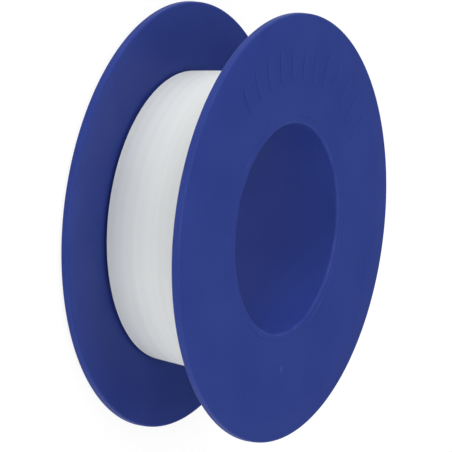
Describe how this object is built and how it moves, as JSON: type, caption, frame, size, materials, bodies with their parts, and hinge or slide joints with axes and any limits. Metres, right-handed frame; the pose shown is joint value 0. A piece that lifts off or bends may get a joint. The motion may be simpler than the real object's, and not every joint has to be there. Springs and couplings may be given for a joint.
{
  "type": "thread seal tape roll",
  "caption": "Roll of white PTFE thread seal tape on a snap-together plastic spool with round flanges and a wide open bore; the front half and the winding turn about the bore.",
  "frame": {"origin": "middle of the bore at the rear flange's outer face, which the roll lies on", "axes": "+Z along the bore, from the rear flange to the front flange; +Y towards the tape's cut end"},
  "size_m": [0.05, 0.05, 0.0158],
  "materials": {
    "spool_plastic": "satin moulded polypropylene",
    "ptfe_tape": "soft unsintered PTFE film"
  },
  "bodies": {
    "rear_half": {"rear_spool_half": "spool_plastic"},
    "front_half": {"front_spool_half": "spool_plastic"},
    "tape": {"tape_pack": "ptfe_tape", "tape_outer_wrap": "ptfe_tape"}
  },
  "joints": [
    {"name": "front_half_swivel", "type": "hinge", "parent": "rear_half", "child": "front_half", "pos_m": [0, 0, 0.0079], "axis": [0, 0, 1], "continuous": true},
    {"name": "tape_spin", "type": "hinge", "parent": "front_half", "child": "tape", "pos_m": [0, 0, 0.0079], "axis": [0, 0, 1], "continuous": true}
  ]
}
